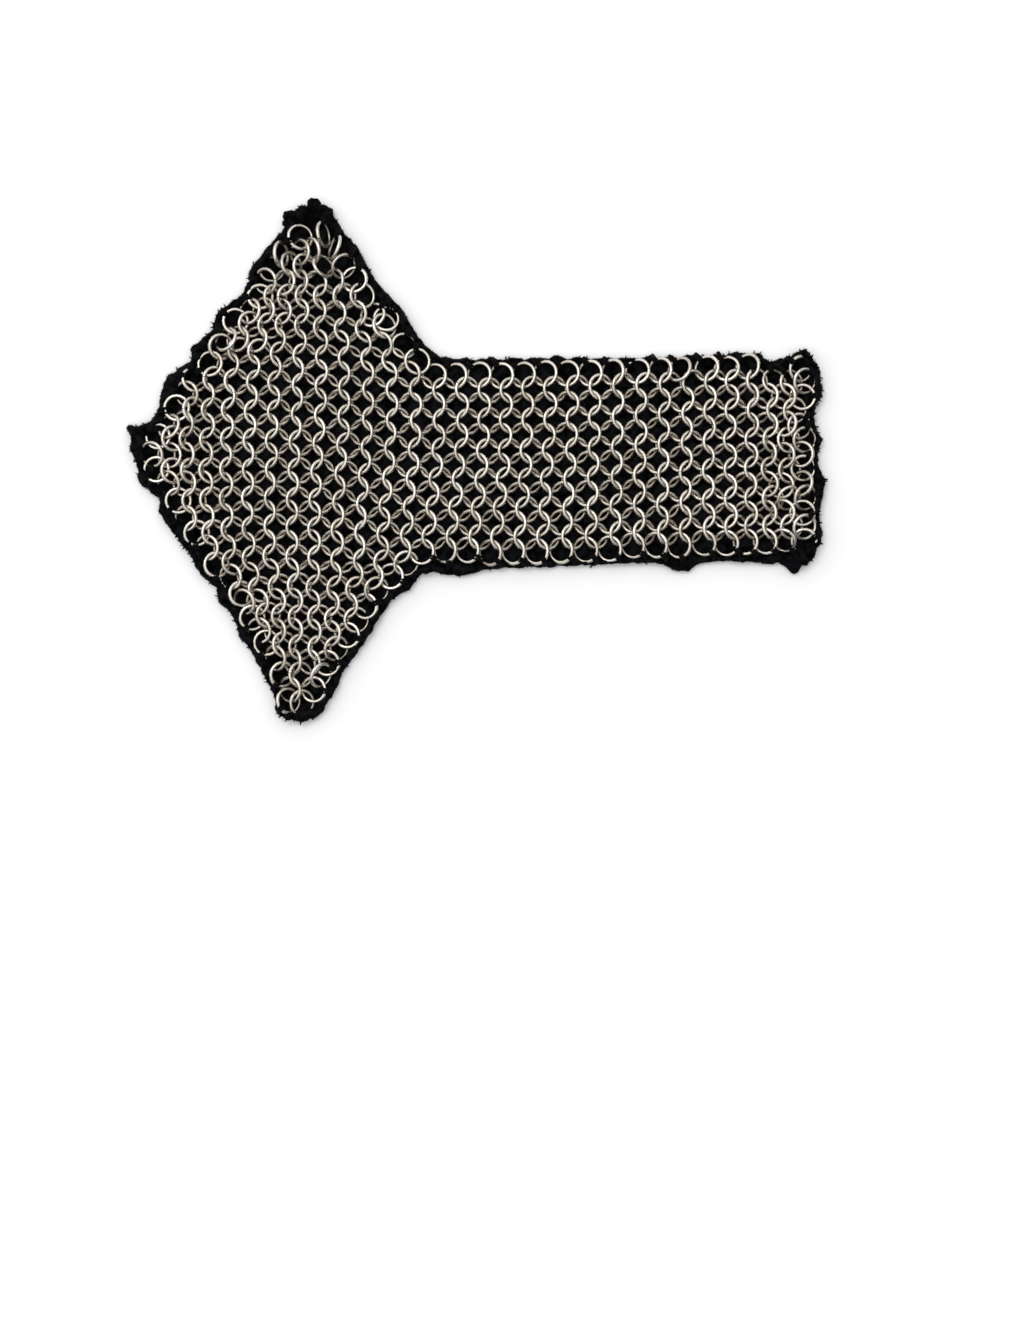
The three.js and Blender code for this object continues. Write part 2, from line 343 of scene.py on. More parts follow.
# the rings are jumbled at the strap's end and in the arrowhead's corners, and less along the edges
x, y = places.T
on_edge = link_count < 4
edge_rings = np.nonzero(on_edge)[0]
least_shift, jumbled_shift = 0.22, 0.7
flatter_sewn, steeper_in_apex, drawn_down = 0.5, 0.6, 0.22
least_tilt, jumbled_tilt = 0.03, 0.33
in_apex = np.maximum(ease(y, 62 * MM, 98 * MM), 0.6 * ease(-y, 75 * MM, 105 * MM))
jumble = np.maximum.reduce([
    0.5 * ease(x, 118 * MM, 145 * MM), in_apex, 0.5 * ease(-x, 115 * MM, 145 * MM), 0.3 * on_edge])
shift = least_shift + jumbled_shift * jumble
places = places + chance.normal(0, 1, (ring_count, 2)) * shift[:, None] * MM
places[:, 1] = np.clip(places[:, 1], lowest_ring, highest_ring)
places[:, 0] = np.maximum(places[:, 0], leftmost_ring)
for _ in range(2):
    depth, nearest_station = outline_near(places)
    outwards = outline[nearest_station] - places
    outwards /= np.linalg.norm(outwards, axis=1)[:, None]
    places = places - outwards * np.clip(station_room[nearest_station] - depth, 0, None)[:, None]

# how each ring leans: its right or its left side up, by its row. Those sewn to the edge lie flatter,
# with their outer side drawn down.
side_up = np.where(rows % 2 == 0, 1.0, -1.0)
along_strap = along_strap_at(x)
sewn_flat = on_edge * (1 - 0.75 * along_strap) * (1 - in_apex)
lean = ring_lean * (1 - flatter_sewn * sewn_flat + steeper_in_apex * in_apex)
first_normal = np.column_stack([-side_up * np.sin(lean), 0 * lean, np.cos(lean)])
first_normal[:, :2] += drawn_down * (on_edge * (1 - 0.4 * along_strap))[:, None] * outwards
first_normal += chance.normal(0, 1, (ring_count, 3)) * (least_tilt + jumbled_tilt * jumble)[:, None]
first_normal /= np.linalg.norm(first_normal, axis=1)[:, None]


def settle_rings(places, first_normal, rounds):
    """Moves the rings from the even grid to their places. Returns their middles and normals. A few
    rings at the edges lose a link on the way."""
    samples = 18
    turn = np.arange(samples) * 2 * math.pi / samples
    cosine, sine = np.cos(turn)[:, None], np.sin(turn)[:, None]
    radius, wire = ring_radius / MM, wire_radius / MM
    floor = cloth_top / MM + wire
    closest = 2 * wire + 0.02
    even_pitch, even_rows = 10.1, 6.45
    near_enough, give_way = 0.9, 0.55
    homing, sinking, righting = 0.04, 0.02, 0.08
    last_rounds = 40

    goal = places / MM
    even = np.stack([middle_column_x / MM + columns * even_pitch,
                     head_first_row_y / MM - rows * even_rows], 1)
    normal = first_normal
    middle = np.column_stack([even, np.full(ring_count, floor + radius * math.sin(ring_lean))])
    up = np.array([0, 0, 1.0])

    def push_apart(middle, normal, one, two):
        across = np.stack([normal[:, 2], 0 * normal[:, 2], -normal[:, 0]], 1)
        across /= np.linalg.norm(across, axis=1)[:, None]
        along = np.cross(normal, across)
        arm = radius * (across[:, None] * cosine + along[:, None] * sine)
        offset = middle[one][:, None] + arm[one] - middle[two][:, None]
        other_normal = normal[two][:, None]
        in_plane = offset - (offset * other_normal).sum(-1, keepdims=True) * other_normal
        nearest = radius * in_plane / (np.linalg.norm(in_plane, axis=-1, keepdims=True) + 1e-9)
        apart = offset - nearest
        distance = np.linalg.norm(apart, axis=-1)
        overlap = np.clip(closest - distance, 0, None)
        near = distance.min(1) < closest + near_enough
        hit = overlap.max(1) > 0
        if hit.any():
            a, b = one[hit], two[hit]
            weight = overlap[hit] / overlap[hit].sum(1, keepdims=True)
            direction = apart[hit] / distance[hit][..., None]
            turn_a = np.cross(arm[a], direction)
            turn_a -= (turn_a * normal[a][:, None]).sum(-1, keepdims=True) * normal[a][:, None]
            turn_b = np.cross(nearest[hit], direction)
            turn_b -= (turn_b * normal[b][:, None]).sum(-1, keepdims=True) * normal[b][:, None]
            give = 2 + 2 * ((turn_a ** 2).sum(-1) + (turn_b ** 2).sum(-1)) / radius ** 2
            push = (weight * overlap[hit].max(1, keepdims=True) / give)[..., None]
            moves = (push * direction).sum(1)
            turns_a, turns_b = (push * turn_a).sum(1), (push * turn_b).sum(1)
            move, spin = np.zeros_like(middle), np.zeros_like(middle)
            for axis in range(3):
                move[:, axis] = (np.bincount(a, moves[:, axis], ring_count)
                                 - np.bincount(b, moves[:, axis], ring_count))
                spin[:, axis] = (np.bincount(a, turns_a[:, axis], ring_count)
                                 - np.bincount(b, turns_b[:, axis], ring_count))
            middle = middle + give_way * move
            normal = normal + give_way * 2 / radius ** 2 * np.cross(spin, normal)
            normal /= np.linalg.norm(normal, axis=1)[:, None]
        steep = np.sqrt(np.clip(1 - normal[:, 2] ** 2, 1e-9, 1))
        sunk = np.clip(floor - (middle[:, 2] - radius * steep), 0, None)
        lowest = -(up - normal[:, 2:] * normal) / steep[:, None]
        lift = np.cross(radius * lowest, up)
        lift -= (lift * normal).sum(1, keepdims=True) * normal
        ease_off = sunk / (1 + 2 * (lift ** 2).sum(1) / radius ** 2)
        middle[:, 2] += ease_off
        normal = normal + np.cross((ease_off * 2 / radius ** 2)[:, None] * lift, normal)
        normal /= np.linalg.norm(normal, axis=1)[:, None]
        return middle, normal, near

    def stay_inside(middle):
        depth, station = outline_near(middle[edge_rings, :2] * MM)
        way_in = middle[edge_rings, :2] * MM - outline[station]
        way_in /= np.linalg.norm(way_in, axis=1)[:, None]
        middle[edge_rings, :2] += np.clip(station_room[station] - depth, 0, None)[:, None] / MM * way_in

    last_place = even
    one, two = first_ring, second_ring
    for count in range(rounds):
        if count % 8 == 0:
            one, two = first_ring, second_ring
        share = ease(float(count + 1), 0, rounds * 0.6)
        place = even + (goal - even) * share
        middle[:, :2] += place - last_place + homing * (place - middle[:, :2])
        middle[:, 2] -= sinking
        normal = normal + righting * (first_normal - normal)
        normal /= np.linalg.norm(normal, axis=1)[:, None]
        last_place = place
        if share == 1 and count % 10 == 0:
            stay_inside(middle)
        for _ in range(2):
            middle, normal, near = push_apart(middle, normal, one, two)
            one, two = one[near], two[near]
    for _ in range(last_rounds):
        middle, normal, near = push_apart(middle, normal, first_ring, second_ring)
    return middle * MM, normal


ring_middle, ring_normal = settle_rings(places, first_normal, 160)


def new_tree(name, inputs):
    """A node group from geometry to geometry, with more inputs given as {kind: names}."""
    tree = bpy.data.node_groups.new(name, "GeometryNodeTree")
    for side in ("INPUT", "OUTPUT"):
        tree.interface.new_socket("Geometry", in_out=side, socket_type="NodeSocketGeometry")
    for kind, labels in inputs.items():
        for label in labels:
            tree.interface.new_socket(label, in_out="INPUT", socket_type="NodeSocket" + kind)
    return tree, tree.nodes, tree.links.new, tree.nodes.new("NodeGroupInput")


def named_attribute(nodes, name, kind):
    """What each point says under a name."""
    attribute = nodes.new("GeometryNodeInputNamedAttribute")
    attribute.data_type = kind
    attribute.inputs["Name"].default_value = name
    return attribute.outputs["Attribute"]


def as_rotation(nodes, link, angles):
    rotation = nodes.new("FunctionNodeEulerToRotation")
    link(angles, rotation.inputs[0])
    return rotation.outputs[0]


def tube_along(nodes, link, path, sides, radius):
    """A smooth tube along a curve, closed at its ends."""
    section = nodes.new("GeometryNodeCurvePrimitiveCircle")
    section.inputs["Resolution"].default_value = sides
    link(radius, section.inputs["Radius"])
    tube = nodes.new("GeometryNodeCurveToMesh")
    tube.inputs["Fill Caps"].default_value = True
    link(path, tube.inputs["Curve"])
    link(section.outputs["Curve"], tube.inputs["Profile Curve"])
    smooth = nodes.new("GeometryNodeSetShadeSmooth")
    link(tube.outputs["Mesh"], smooth.inputs["Geometry"])
    return smooth.outputs["Geometry"]


def put_on_points(nodes, link, given, points, thing, rotation, scale=None):
    """Puts a real copy of a thing on every point, in the group's material, as the group's result."""
    place = nodes.new("GeometryNodeInstanceOnPoints")
    link(points, place.inputs["Points"])
    link(thing, place.inputs["Instance"])
    link(rotation, place.inputs["Rotation"])
    if scale is not None:
        link(scale, place.inputs["Scale"])
    real = nodes.new("GeometryNodeRealizeInstances")
    link(place.outputs["Instances"], real.inputs["Geometry"])
    finish = nodes.new("GeometryNodeSetMaterial")
    link(given.outputs["Material"], finish.inputs["Material"])
    link(real.outputs["Geometry"], finish.inputs["Geometry"])
    link(finish.outputs["Geometry"], nodes.new("NodeGroupOutput").inputs["Geometry"])


ring_arc_points, wire_sides = 21, 6
butt_gap = 0.025


def make_ring_tree():
    """A node group that puts a butted wire ring on every point, turned as the point says."""
    tree, nodes, link, given = new_tree("linked_rings", {
        "Material": ["Material"], "Float": ["Ring radius", "Wire radius", "Butt gap"]})
    sweep = nodes.new("ShaderNodeMath")
    sweep.operation = "SUBTRACT"
    sweep.inputs[0].default_value = 2 * math.pi
    link(given.outputs["Butt gap"], sweep.inputs[1])
    arc = nodes.new("GeometryNodeCurveArc")
    arc.inputs["Resolution"].default_value = ring_arc_points
    link(given.outputs["Ring radius"], arc.inputs["Radius"])
    link(sweep.outputs[0], arc.inputs["Sweep Angle"])
    wire = tube_along(nodes, link, arc.outputs["Curve"], wire_sides, given.outputs["Wire radius"])
    turn = as_rotation(nodes, link, named_attribute(nodes, "turn", "FLOAT_VECTOR"))
    put_on_points(nodes, link, given, given.outputs["Geometry"], wire, turn)
    return tree


def make_real(piece, tree, values):
    """Runs a node group on a piece with the given sizes, and keeps the result as a plain mesh."""
    modifier = piece.modifiers.new(tree.name, "NODES")
    modifier.node_group = tree
    for item in tree.interface.items_tree:
        if item.item_type == "SOCKET" and item.in_out == "INPUT" and item.name in values:
            modifier[item.identifier] = values[item.name]
    bpy.context.view_layer.update()
    evaluated = piece.evaluated_get(bpy.context.evaluated_depsgraph_get())
    mesh = bpy.data.meshes.new_from_object(evaluated)
    piece.modifiers.remove(modifier)
    piece.data = mesh
    return piece


def points_mesh(name, points, attributes):
    """A mesh of loose points, with a value of each named attribute for every point."""
    mesh = bpy.data.meshes.new(name)
    mesh.from_pydata([tuple(point) for point in points], [], [])
    for label, values in attributes.items():
        values = np.asarray(values, float)
        kind, field = ("FLOAT_VECTOR", "vector") if values.ndim == 2 else ("FLOAT", "value")
        mesh.attributes.new(label, kind, "POINT").data.foreach_set(field, values.ravel())
    return mesh


def add_noise(nodes, links, place, scale, detail):
    texture = nodes.new("ShaderNodeTexNoise")
    texture.inputs["Scale"].default_value = scale
    texture.inputs["Detail"].default_value = detail
    links.new(place.outputs["Object"], texture.inputs["Vector"])
    return texture.outputs["Fac"]


def add_ramp(nodes, links, value, low, high):
    """A colour by the value, between two that are each given as (position, colour)."""
    ramp = nodes.new("ShaderNodeValToRGB")
    for element, (position, colour) in zip(ramp.color_ramp.elements, (low, high)):
        element.position = position
        element.color = (*colour, 1)
    links.new(value, ramp.inputs["Fac"])
    return ramp.outputs["Color"]


def add_bump(nodes, links, shader, height, strength, distance):
    bump = nodes.new("ShaderNodeBump")
    bump.inputs["Strength"].default_value = strength
    bump.inputs["Distance"].default_value = distance
    links.new(height, bump.inputs["Height"])
    links.new(bump.outputs["Normal"], shader.inputs["Normal"])


dark_steel, bright_steel = (0.53, 0.485, 0.42), (0.84, 0.80, 0.73)
# painted shade: the wire's colour is darkened towards the cloth, standing in for the shade the lower
# wires lie in
painted_shade_tone, no_painted_shade = (0.32, 0.28, 0.235), (1, 1, 1)
painted_shade_below, painted_shade_above = 1.6 * MM, 5.6 * MM
smoothest_steel, roughest_steel = 0.22, 0.34


def steel_material():
    """Drawn steel wire with a warm nickel tone: each ring differs a little, and the wire is dulled by
    patches, darkened near the cloth by painted shade, and finely marked."""
    material, nodes, links, shader = new_material("bare_steel_wire")
    shader.inputs["Metallic"].default_value = 1.0
    place = nodes.new("ShaderNodeTexCoord")
    dull = add_noise(nodes, links, place, 260, 4)
    tone = nodes.new("ShaderNodeAttribute")
    tone.attribute_name = "tone"
    mixed = nodes.new("ShaderNodeMath")
    mixed.operation = "MULTIPLY_ADD"
    mixed.inputs[1].default_value = 0.5
    links.new(dull, mixed.inputs[0])
    links.new(tone.outputs["Fac"], mixed.inputs[2])
    colours = add_ramp(nodes, links, mixed.outputs[0], (0.15, dark_steel), (0.95, bright_steel))
    # painted shade: the base colour is multiplied darker with height towards the cloth, for the shade the
    # lower wires lie in
    height = nodes.new("ShaderNodeSeparateXYZ")
    links.new(place.outputs["Object"], height.inputs["Vector"])
    low = nodes.new("ShaderNodeMapRange")
    low.interpolation_type = "SMOOTHSTEP"
    low.inputs["From Min"].default_value = painted_shade_below
    low.inputs["From Max"].default_value = painted_shade_above
    links.new(height.outputs["Z"], low.inputs["Value"])
    painted_shade = add_ramp(nodes, links, low.outputs["Result"], (0, painted_shade_tone), (1, no_painted_shade))
    with_painted_shade = nodes.new("ShaderNodeMix")
    with_painted_shade.data_type = "RGBA"
    with_painted_shade.blend_type = "MULTIPLY"
    with_painted_shade.inputs["Factor"].default_value = 1
    links.new(colours, with_painted_shade.inputs["A"])
    links.new(painted_shade, with_painted_shade.inputs["B"])
    links.new(with_painted_shade.outputs["Result"], shader.inputs["Base Color"])
    gloss = nodes.new("ShaderNodeMapRange")
    gloss.inputs["To Min"].default_value = smoothest_steel
    gloss.inputs["To Max"].default_value = roughest_steel
    links.new(dull, gloss.inputs["Value"])
    links.new(gloss.outputs["Result"], shader.inputs["Roughness"])
    add_bump(nodes, links, shader, add_noise(nodes, links, place, 2600, 2), 0.07, 0.1 * MM)
    return material


# each ring is turned so that its own Z is its normal, and its butt points any way round
spin = chance.uniform(0, 2 * math.pi, ring_count)
turns = []
for normal, angle in zip(ring_normal, spin):
    upright = Vector(normal).to_track_quat("Z", "Y").to_matrix()
    own_spin = np.array([[math.cos(angle), -math.sin(angle), 0],
                         [math.sin(angle), math.cos(angle), 0], [0, 0, 1]])
    turned = np.array(upright) @ own_spin
    pitch = -math.asin(float(np.clip(turned[2, 0], -1, 1)))
    turns.append((math.atan2(turned[2, 1], turned[2, 2]), pitch,
                  math.atan2(turned[1, 0], turned[0, 0])))

mail = new_object("mail", points_mesh("mail", ring_middle, {
    "turn": turns, "tone": chance.uniform(0, 0.5, ring_count)}))
make_real(mail, make_ring_tree(), {
    "Ring radius": ring_radius, "Wire radius": wire_radius, "Butt gap": butt_gap,
    "Material": steel_material()})
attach(mail, "root")
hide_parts(*[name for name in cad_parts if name.startswith("mail_row_")])


# ---- the backing cloth ----
# One cut of black pile cloth. It lies flat under the mail, and its border is turned up outside the
# outer rings and rolled over them. It is pulled in where it is stitched between two rings, and
# bunched at the corners, where there is too much of it.

roll_height, sewn_over_height = 4.2 * MM, 5.4 * MM
corner_bunches = [
    # where, how far it reaches, how much wider and how much higher the rolled border is there
    ((-72 * MM, 110 * MM), 17 * MM, 2.0 * MM, 2.2 * MM),
    ((-149 * MM, 11 * MM), 12 * MM, 1.0 * MM, 0.8 * MM),
    ((-78 * MM, -110 * MM), 14 * MM, 1.0 * MM, 1.5 * MM),
    ((145 * MM, 43 * MM), 15 * MM, 2.0 * MM, 2.0 * MM),
    ((144 * MM, -44 * MM), 15 * MM, 2.5 * MM, 2.0 * MM),
]


def wave(places, scale, seed):
    """Smooth random waves of about unit size over places, the same on every run."""
    draw = np.random.default_rng(seed)
    octaves, waves = 3, 6
    total = np.zeros(len(places))
    for octave in range(octaves):
        for _ in range(waves):
            angle, phase = draw.uniform(0, 2 * math.pi, 2)
            stretch = 2 ** octave / scale
            total += np.sin((places[:, 0] * math.cos(angle) + places[:, 1] * math.sin(angle))
                            * stretch * 2 * math.pi + phase) / 2 ** octave / waves
    return total


# a border station's way in is square to the outline, smoothed over a few stations
along = np.roll(outline, -4, 0) - np.roll(outline, 4, 0)
along /= np.linalg.norm(along, axis=1)[:, None]
inward = np.stack([along[:, 1], -along[:, 0]], 1)
for _ in range(6):
    inward = (np.roll(inward, 1, 0) + inward + np.roll(inward, -1, 0)) / 3
inward /= np.linalg.norm(inward, axis=1)[:, None]

extra_width = np.zeros(len(outline))
extra_height = np.zeros(len(outline))
for centre, reach, wider, higher in corner_bunches:
    near = 1 - ease(np.hypot(*(outline - centre).T), 0, reach)
    extra_width = np.maximum(extra_width, near * wider)
    extra_height = np.maximum(extra_height, near * higher)
bunched = extra_height / extra_height.max()


def even_out(values, rounds):
    """Evens out values round the border."""
    for _ in range(rounds):
        values = (np.roll(values, 1, 0) + 2 * values + np.roll(values, -1, 0)) / 4
    return values


# how shaggy the pile is, from 0 to 1: it is brushed out on the arrowhead, at the corners, along the
# strap's top edge and most at the strap's end. The cloth itself is set in from the outline by its pile.
x, y = outline.T
along_strap = along_strap_at(x)
shaggy = np.clip(0.08 + 0.34 * (1 - ease(x, -85 * MM, -65 * MM)) + 0.4 * bunched
                 + 0.3 * ease(y, 38 * MM, 44 * MM) * ease(x, -22 * MM, -12 * MM)
                 + 0.7 * ease(x, 137 * MM, 147 * MM), 0, 1)
least_pile, most_pile = 0.2 * MM, 1.1 * MM
set_in = least_pile + (most_pile - least_pile) * shaggy

# along the strap's top edge the cloth ends at the outer rings' wire, in a lump between each two
to_ring = np.array([np.hypot(*(ring_middle[:, :2] - station).T).min() for station in outline])
wire_gap = to_ring - ring_radius - wire_radius
to_next_ring = range(-5, 6)
ring_tops = even_out(np.minimum.reduce([np.roll(wire_gap, shift) for shift in to_next_ring]), 8)
strap_top = along_strap * ease(y, 20 * MM, 30 * MM)
stands_proud = 0.95 * MM - 1.5 * MM * ease(x, 20 * MM, 80 * MM)
lumpy = ring_tops - stands_proud - 0.4 * (wire_gap - ring_tops) + 0.5 * MM * wave(outline, 6 * MM, 13)
set_in += (np.clip(lumpy, 0, 3.2 * MM) - set_in) * strap_top

# the top corner is drawn in by the thread of its knots: where, how far round, and by how much
for knot_place, reach, drawn_in in (((-72 * MM, 114 * MM), 12 * MM, 2.4 * MM),
                                    ((-86 * MM, 106 * MM), 9 * MM, 1.4 * MM)):
    from_knot = np.hypot(*(outline - knot_place).T)
    set_in += drawn_in * (1 - ease(from_knot, 0.3 * reach, reach))
cloth_edge = outline + inward * set_in[:, None]

# the roll reaches in to the outer rings and laps over their wire
lap = 2.5 * MM - 1.3 * MM * ease(x, -85 * MM, -65 * MM)
strap_lap = -0.2 * MM - 0.9 * MM * ease(y, 0, 20 * MM)
lap += (strap_lap - lap) * along_strap
narrowest_roll, widest_roll = 2.0 * MM, 8.5 * MM
width = even_out(wire_gap, 10) + lap + extra_width
width = np.clip(width + 1.1 * MM * wave(outline, 11 * MM, 11), narrowest_roll + set_in * strap_top,
                widest_roll)
inner_edge = even_out(outline + inward * width[:, None], 12)
height = sewn_over_height + (roll_height - sewn_over_height) * along_strap
height = height * (1 + 0.10 * wave(outline, 9 * MM, 12)) * (1 - 0.14 * strap_top) + extra_height

# the rolled border's section: how far in, as a share of its width, and how high, as a share
border_section = [(0.34, 0.0), (0.16, 0.0), (0.05, 0.08), (0.0, 0.22), (0.0, 0.40), (0.03, 0.58),
                  (0.09, 0.75), (0.19, 0.89), (0.32, 0.97), (0.46, 1.0), (0.60, 0.98), (0.73, 0.90),
                  (0.85, 0.77), (0.94, 0.61), (0.99, 0.46), (0.97, 0.37)]

loops = []
for share, rise in border_section:
    loops.append(np.column_stack([cloth_edge + (inner_edge - cloth_edge) * share, height * rise]))
station_count = len(outline)
points = [tuple(point) for loop in loops for point in loop]
faces = []
for ring in range(len(loops) - 1):
    for station in range(station_count):
        onward = (station + 1) % station_count
        low, high = ring * station_count, (ring + 1) * station_count
        faces.append((low + station, high + station, high + onward, low + onward))


def fill_loop(loop_start, z, upward, spacing):
    """Fills a loop of the cloth with a triangle mesh at height z, with inner points on a grid."""
    loop = np.array([points[loop_start + station][:2] for station in range(station_count)])
    xs = np.arange(cad_low[0], cad_high[0], spacing)
    ys = np.arange(cad_low[1], cad_high[1], spacing)
    grid = np.array([(x, y) for x in xs for y in ys])
    grid = grid[outline_near(grid)[0] > widest_roll + 2 * MM]
    flat = [Vector(place) for place in np.vstack([loop, grid])]
    edges = [(station, (station + 1) % station_count) for station in range(station_count)]
    placed, _, made, origins, _, _ = delaunay_2d_cdt(flat, edges, [], 1, 1e-7)
    new_index = {}
    for index, (place, sources) in enumerate(zip(placed, origins)):
        known = [source for source in sources if source < station_count]
        if known:
            new_index[index] = loop_start + known[0]
        else:
            new_index[index] = len(points)
            points.append((place.x, place.y, z))
    for face in made:
        corners = [new_index[v] for v in face]
        faces.append(tuple(corners if upward else reversed(corners)))


underside_spacing, top_spacing = 8 * MM, 4 * MM
fill_loop(0, 0.0, False, underside_spacing)
fill_loop((len(loops) - 1) * station_count, cloth_top - 0.1 * MM, True, top_spacing)

cloth_mesh = bpy.data.meshes.new("backing")
cloth_mesh.from_pydata(points, [], faces)
shape = bmesh.new()
shape.from_mesh(cloth_mesh)
bmesh.ops.recalc_face_normals(shape, faces=shape.faces)
shape.to_mesh(cloth_mesh)
shape.free()
cloth_mesh.shade_smooth()
backing = new_object("backing", cloth_mesh)

# lumps: the roll is pushed out and in along its surface, more where it is bunched, and stays off the
# table; the two flat fills between the rolls are hardly moved
broad_lump, broad_size = 0.80, 3.0 * MM
small_lump, small_size = 0.36, 1.6 * MM
deepest_dent = -0.5
roll_lumps, bunched_lumps, fill_lumps = 1.35, 1.8, 0.3
lump = np.array([max(broad_lump * noise.noise(Vector(point) / broad_size)
                     + small_lump * noise.noise(Vector(point) / small_size), deepest_dent)
                 for point in points]) * MM
on_roll = np.arange(len(points)) < len(loops) * station_count
lump[on_roll] *= roll_lumps + bunched_lumps * np.tile(bunched, len(loops))
lump[~on_roll] *= fill_lumps
normals = [vertex.normal.copy() for vertex in cloth_mesh.vertices]
for vertex, normal, move in zip(cloth_mesh.vertices, normals, lump):
    off_table = min(1, max(0, vertex.co.z / (0.6 * MM)))
    vertex.co += normal * float(move) * off_table
    vertex.co.z = max(0, vertex.co.z)
cloth_mesh.update()

# the pile grows on the roll, thickest on its outer half and not at its foot
foot_rise, outer_half, inner_pile = 0.3, 0.5, 0.4
pile = np.zeros(len(points))
for loop, (share, rise) in enumerate(border_section):
    strength = 0 if rise < foot_rise else (1 if share < outer_half else inner_pile)
    pile[loop * station_count:(loop + 1) * station_count] = strength
tuft = pile.copy()
tuft[on_roll] *= np.tile(shaggy, len(loops))
for label, values in (("pile", pile), ("tuft", tuft)):
    cloth_mesh.attributes.new(label, "FLOAT", "POINT").data.foreach_set("value", values)


def cloth_material():
    """Short black pile: almost no light comes back, but for a faint cool sheen on the fibre tips."""
    material, nodes, links, shader = new_material("black_pile_cloth")
    place = nodes.new("ShaderNodeTexCoord")
    patches = add_noise(nodes, links, place, 330, 6)
    colours = add_ramp(nodes, links, patches,
                       (0.38, (0.0002, 0.0002, 0.0003)), (0.72, (0.0100, 0.0108, 0.0124)))
    links.new(colours, shader.inputs["Base Color"])
    shader.inputs["Roughness"].default_value = 0.95
    shader.inputs["Specular IOR Level"].default_value = 0.04
    shader.inputs["Sheen Weight"].default_value = 0.008
    shader.inputs["Sheen Roughness"].default_value = 0.5
    shader.inputs["Sheen Tint"].default_value = (0.6, 0.7, 0.75, 1)
    add_bump(nodes, links, shader, add_noise(nodes, links, place, 1500, 4), 0.9, 0.6 * MM)
    return material


black_cloth = cloth_material()
cloth_mesh.materials.append(black_cloth)
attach(backing, "root")
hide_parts("backing_cloth")


# ---- the pile of the rolled border ----
# The cloth's own fibres, standing up all over the roll, with longer tufts where it is brushed out.
# They are short black cones scattered on the roll, each at its own angle.

def make_pile_tree():
    """A node group that scatters fibres on a piece, by one of its attributes."""
    tree, nodes, link, given = new_tree("scattered_fibres", {
        "String": ["Where"], "Material": ["Material"], "Int": ["Seed", "Fibres in a tuft"],
        "Float": ["Tufts per square metre", "Length", "Radius", "Shortest", "Lean", "Tilt"]})
    where = nodes.new("GeometryNodeInputNamedAttribute")
    where.data_type = "FLOAT"
    link(given.outputs["Where"], where.inputs["Name"])
    density = nodes.new("ShaderNodeMath")
    density.operation = "MULTIPLY"
    link(where.outputs["Attribute"], density.inputs[0])
    link(given.outputs["Tufts per square metre"], density.inputs[1])
    scatter = nodes.new("GeometryNodeDistributePointsOnFaces")
    link(given.outputs["Geometry"], scatter.inputs["Mesh"])
    link(density.outputs[0], scatter.inputs["Density"])
    link(given.outputs["Seed"], scatter.inputs["Seed"])

    number = nodes.new("GeometryNodeInputIndex")

    def turned_at_random(rotation, most):
        """The rotation, turned about its own X and Y by a random angle up to the given one."""
        back = nodes.new("ShaderNodeMath")
        back.operation = "MULTIPLY"
        back.inputs[1].default_value = -1
        link(given.outputs[most], back.inputs[0])
        low, high = nodes.new("ShaderNodeCombineXYZ"), nodes.new("ShaderNodeCombineXYZ")
        for axis in ("X", "Y"):
            link(back.outputs[0], low.inputs[axis])
            link(given.outputs[most], high.inputs[axis])
        angles = nodes.new("FunctionNodeRandomValue")
        angles.data_type = "FLOAT_VECTOR"
        link(low.outputs["Vector"], angles.inputs["Min"])
        link(high.outputs["Vector"], angles.inputs["Max"])
        link(number.outputs["Index"], angles.inputs["ID"])
        link(given.outputs["Seed"], angles.inputs["Seed"])
        turned = nodes.new("FunctionNodeRotateRotation")
        turned.rotation_space = "LOCAL"
        link(rotation, turned.inputs["Rotation"])
        link(as_rotation(nodes, link, angles.outputs["Value"]), turned.inputs["Rotate By"])
        return turned.outputs["Rotation"]

    keep_turn = nodes.new("GeometryNodeStoreNamedAttribute")
    keep_turn.data_type = "QUATERNION"
    keep_turn.inputs["Name"].default_value = "standing"
    link(scatter.outputs["Points"], keep_turn.inputs["Geometry"])
    link(turned_at_random(scatter.outputs["Rotation"], "Lean"), keep_turn.inputs["Value"])
    several = nodes.new("GeometryNodeDuplicateElements")
    several.domain = "POINT"
    link(keep_turn.outputs["Geometry"], several.inputs["Geometry"])
    link(given.outputs["Fibres in a tuft"], several.inputs["Amount"])

    fibre = nodes.new("GeometryNodeMeshCone")
    fibre.inputs["Vertices"].default_value = 3
    fibre.inputs["Side Segments"].default_value = 1
    fibre.inputs["Radius Top"].default_value = 0
    link(given.outputs["Radius"], fibre.inputs["Radius Bottom"])
    link(given.outputs["Length"], fibre.inputs["Depth"])

    size = nodes.new("FunctionNodeRandomValue")
    size.data_type = "FLOAT"
    link(given.outputs["Shortest"], size.inputs[2])
    size.inputs[3].default_value = 1
    link(number.outputs["Index"], size.inputs["ID"])
    link(given.outputs["Seed"], size.inputs["Seed"])

    standing = named_attribute(nodes, "standing", "QUATERNION")
    put_on_points(nodes, link, given, several.outputs["Geometry"], fibre.outputs["Mesh"],
                  turned_at_random(standing, "Tilt"), size.outputs[1])
    return tree


